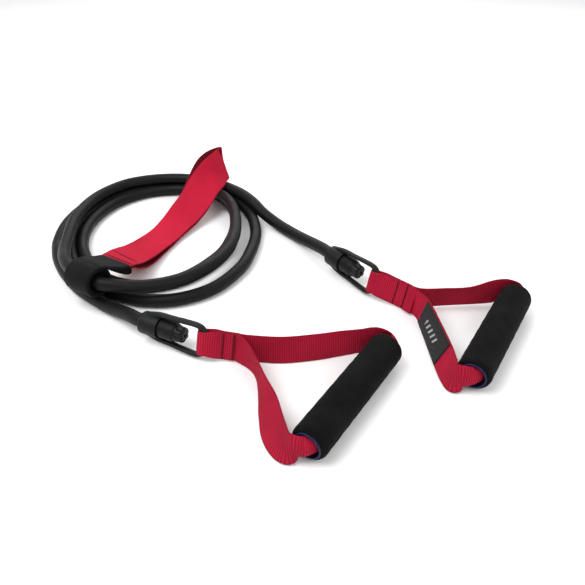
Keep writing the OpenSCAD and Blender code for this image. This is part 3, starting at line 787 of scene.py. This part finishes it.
# rows: out from the sleeve's axis, height of the flap's middle over it, thickness, width
flap = {"shift": -0.005, "corner": 0.003, "cornerSteps": 6, "rows": [
    (0.000, 0.0130, 0.0030, 0.031), (0.005, 0.0132, 0.0034, 0.032), (0.010, 0.0116, 0.0040, 0.034),
    (0.015, 0.0083, 0.0062, 0.0365), (0.020, 0.0052, 0.0082, 0.0385), (0.025, 0.0022, 0.0098, 0.0396),
    (0.029, 0.0004, 0.0106, 0.0398), (0.0322, -0.0004, 0.0096, 0.0394), (0.033, -0.0004, 0.0074, 0.0386)]}
bm = bmesh.new()
rings = []
for out, up, thick, width in smoothRows(flap["rows"], 4):
    middle = flap["shift"] * min(1.0, out / 0.02)
    corner = min(flap["corner"], thick * 0.49)
    ring = []
    for start, sx, sz in ((0, 1, 1), (90, -1, 1), (180, -1, -1), (270, 1, -1)):
        for k in range(flap["cornerSteps"] + 1):
            a = math.radians(start + 90 * k / flap["cornerSteps"])
            x = middle + sx * (width / 2 - corner) + corner * math.cos(a)
            z = up + sz * (thick / 2 - corner) + corner * math.sin(a)
            ring.append(bm.verts.new(sleevePlace @ Vector((x, -out, z))))
    rings.append(ring)
sweepRings(bm, rings)
finishMesh("anchor_flap", bm, neoprene, "anchor", ())

anchor = {"thick": 0.0015, "segments": 18, "ring": 0.0007, "pitch": 0.0012, "ribDepth": 0.00005,
          "width": 0.038}
# place and across direction, from the sleeve up to the tip and back below itself
anchorRows = [[*p, *w, 0.0, anchor["width"]] for p, w in [
    ((-0.1725, 0.0019, 0.03155), (-0.848, 0.53, 0)), ((-0.1682, 0.0088, 0.0314), (-0.848, 0.53, 0)),
    ((-0.1650, 0.0220, 0.0265), (-0.79, 0.61, 0)), ((-0.1625, 0.0420, 0.0185), (-0.76, 0.65, 0)),
    ((-0.1585, 0.0580, 0.0130), (-0.78, 0.62, 0)), ((-0.1520, 0.0800, 0.0080), (-0.86, 0.5, 0)),
    ((-0.1420, 0.1050, 0.0054), (-0.88, 0.47, 0)), ((-0.1315, 0.1260, 0.0090), (-0.96, 0.2, 0)),
    ((-0.1220, 0.1420, 0.0150), (-0.98, 0.1, 0.08)), ((-0.1125, 0.1580, 0.0225), (-0.98, 0.05, 0.1)),
    ((-0.1050, 0.1735, 0.0310), (-0.93, 0.08, 0.22)), ((-0.0970, 0.1865, 0.0380), (-0.8, 0.1, 0.48)),
    ((-0.0905, 0.1965, 0.0420), (-0.45, 0.12, 0.82)), ((-0.0850, 0.2065, 0.0442), (-0.3, 0.2, 0.9)),
    ((-0.0835, 0.2115, 0.0442), (-0.28, 0.2, 0.92)), ((-0.0875, 0.2135, 0.0437), (-0.3, 0.2, 0.9)),
    ((-0.0990, 0.2050, 0.0400), (-0.68, 0.25, 0.48)), ((-0.1070, 0.1800, 0.0312), (-0.93, 0.12, 0.15)),
    ((-0.1140, 0.1580, 0.0195), (-0.98, 0.05, 0.08)), ((-0.1230, 0.1420, 0.0117), (-0.98, 0.1, 0.05)),
    ((-0.1325, 0.1260, 0.0059), (-0.96, 0.2, 0)), ((-0.1430, 0.1050, 0.0026), (-0.88, 0.47, 0)),
    ((-0.1525, 0.0800, 0.0030), (-0.86, 0.5, 0)), ((-0.1590, 0.0580, 0.0060), (-0.78, 0.62, 0)),
    ((-0.1630, 0.0420, 0.0115), (-0.76, 0.65, 0)), ((-0.1655, 0.0220, 0.0215), (-0.79, 0.61, 0)),
    ((-0.1682, 0.0088, 0.0292), (-0.848, 0.53, 0)), ((-0.1725, 0.0019, 0.02945), (-0.848, 0.53, 0))]]
anchorStrap, anchorLength = ribbon("anchor_loop", anchorRows, anchor, anchorWebbing, "anchor", False,
                                   ("anchor_strap",))
print("anchor strap %.3f m" % anchorLength)

anchorSewing = {"count": 20, "r": 0.00048, "half": 0.018, "lift": 0.0009, "rows": (2.05, 1.1)}
bm = bmesh.new()
for row in anchorSewing["rows"]:  # places along anchorRows
    k = int(row)
    t = row - k
    a, b = anchorRows[k], anchorRows[k + 1]
    p = Vector(a[:3]).lerp(Vector(b[:3]), t) + layoutShift
    w = Vector(a[3:6]).lerp(Vector(b[3:6]), t).normalized()
    up = (Vector(b[:3]) - Vector(a[:3])).normalized().cross(w)
    if up.z < 0:
        up = -up
    p = p + up * anchorSewing["lift"]
    reach = w * anchorSewing["half"]
    stitchRow(bm, p - reach, p + reach, up, anchorSewing)
finishMesh("anchor_sewing", bm, thread, "anchor", ("anchor_stitches",))
print("anchor made")


floorRadius, floorDrop = 14, 0.0004
mat = bpy.data.materials.new("floor")
mat.use_nodes = True
mat.node_tree.nodes["Principled BSDF"].inputs["Base Color"].default_value = (0.9, 0.9, 0.9, 1)
mat.node_tree.nodes["Principled BSDF"].inputs["Roughness"].default_value = 0.8
bm = bmesh.new()
bmesh.ops.create_circle(bm, cap_ends=True, segments=64, radius=floorRadius)
for v in bm.verts:
    v.co.z = -floorDrop
mesh = bpy.data.meshes.new("floor")
bm.to_mesh(mesh)
bm.free()
floor = bpy.data.objects.new("floor", mesh)
mesh.materials.append(mat)
bpy.context.scene.collection.objects.link(floor)

bpy.context.scene.view_settings.view_transform = "Standard"
world = bpy.data.worlds.new("studio")
bpy.context.scene.world = world
world.use_nodes = True
world.node_tree.nodes["Background"].inputs[0].default_value = (1, 1, 1, 1)
world.node_tree.nodes["Background"].inputs[1].default_value = 0.75


def areaLight(name, place, aim, size, power):
    data = bpy.data.lights.new(name, "AREA")
    data.shape = "RECTANGLE"
    data.size, data.size_y = size
    data.energy = power
    lamp = bpy.data.objects.new(name, data)
    lamp.location = place
    lamp.rotation_euler = (Vector(aim) - Vector(place)).to_track_quat("-Z", "Y").to_euler()
    bpy.context.scene.collection.objects.link(lamp)


areaLight("key", (-0.7, -0.3, 1.3), (0, 0, 0), (0.9, 0.9), 16)
areaLight("fill", (0.9, -0.7, 0.9), (0, 0, 0), (1.1, 0.8), 6)
areaLight("back", (0.1, 1.3, 0.9), (0, 0, 0), (1.4, 0.5), 8)
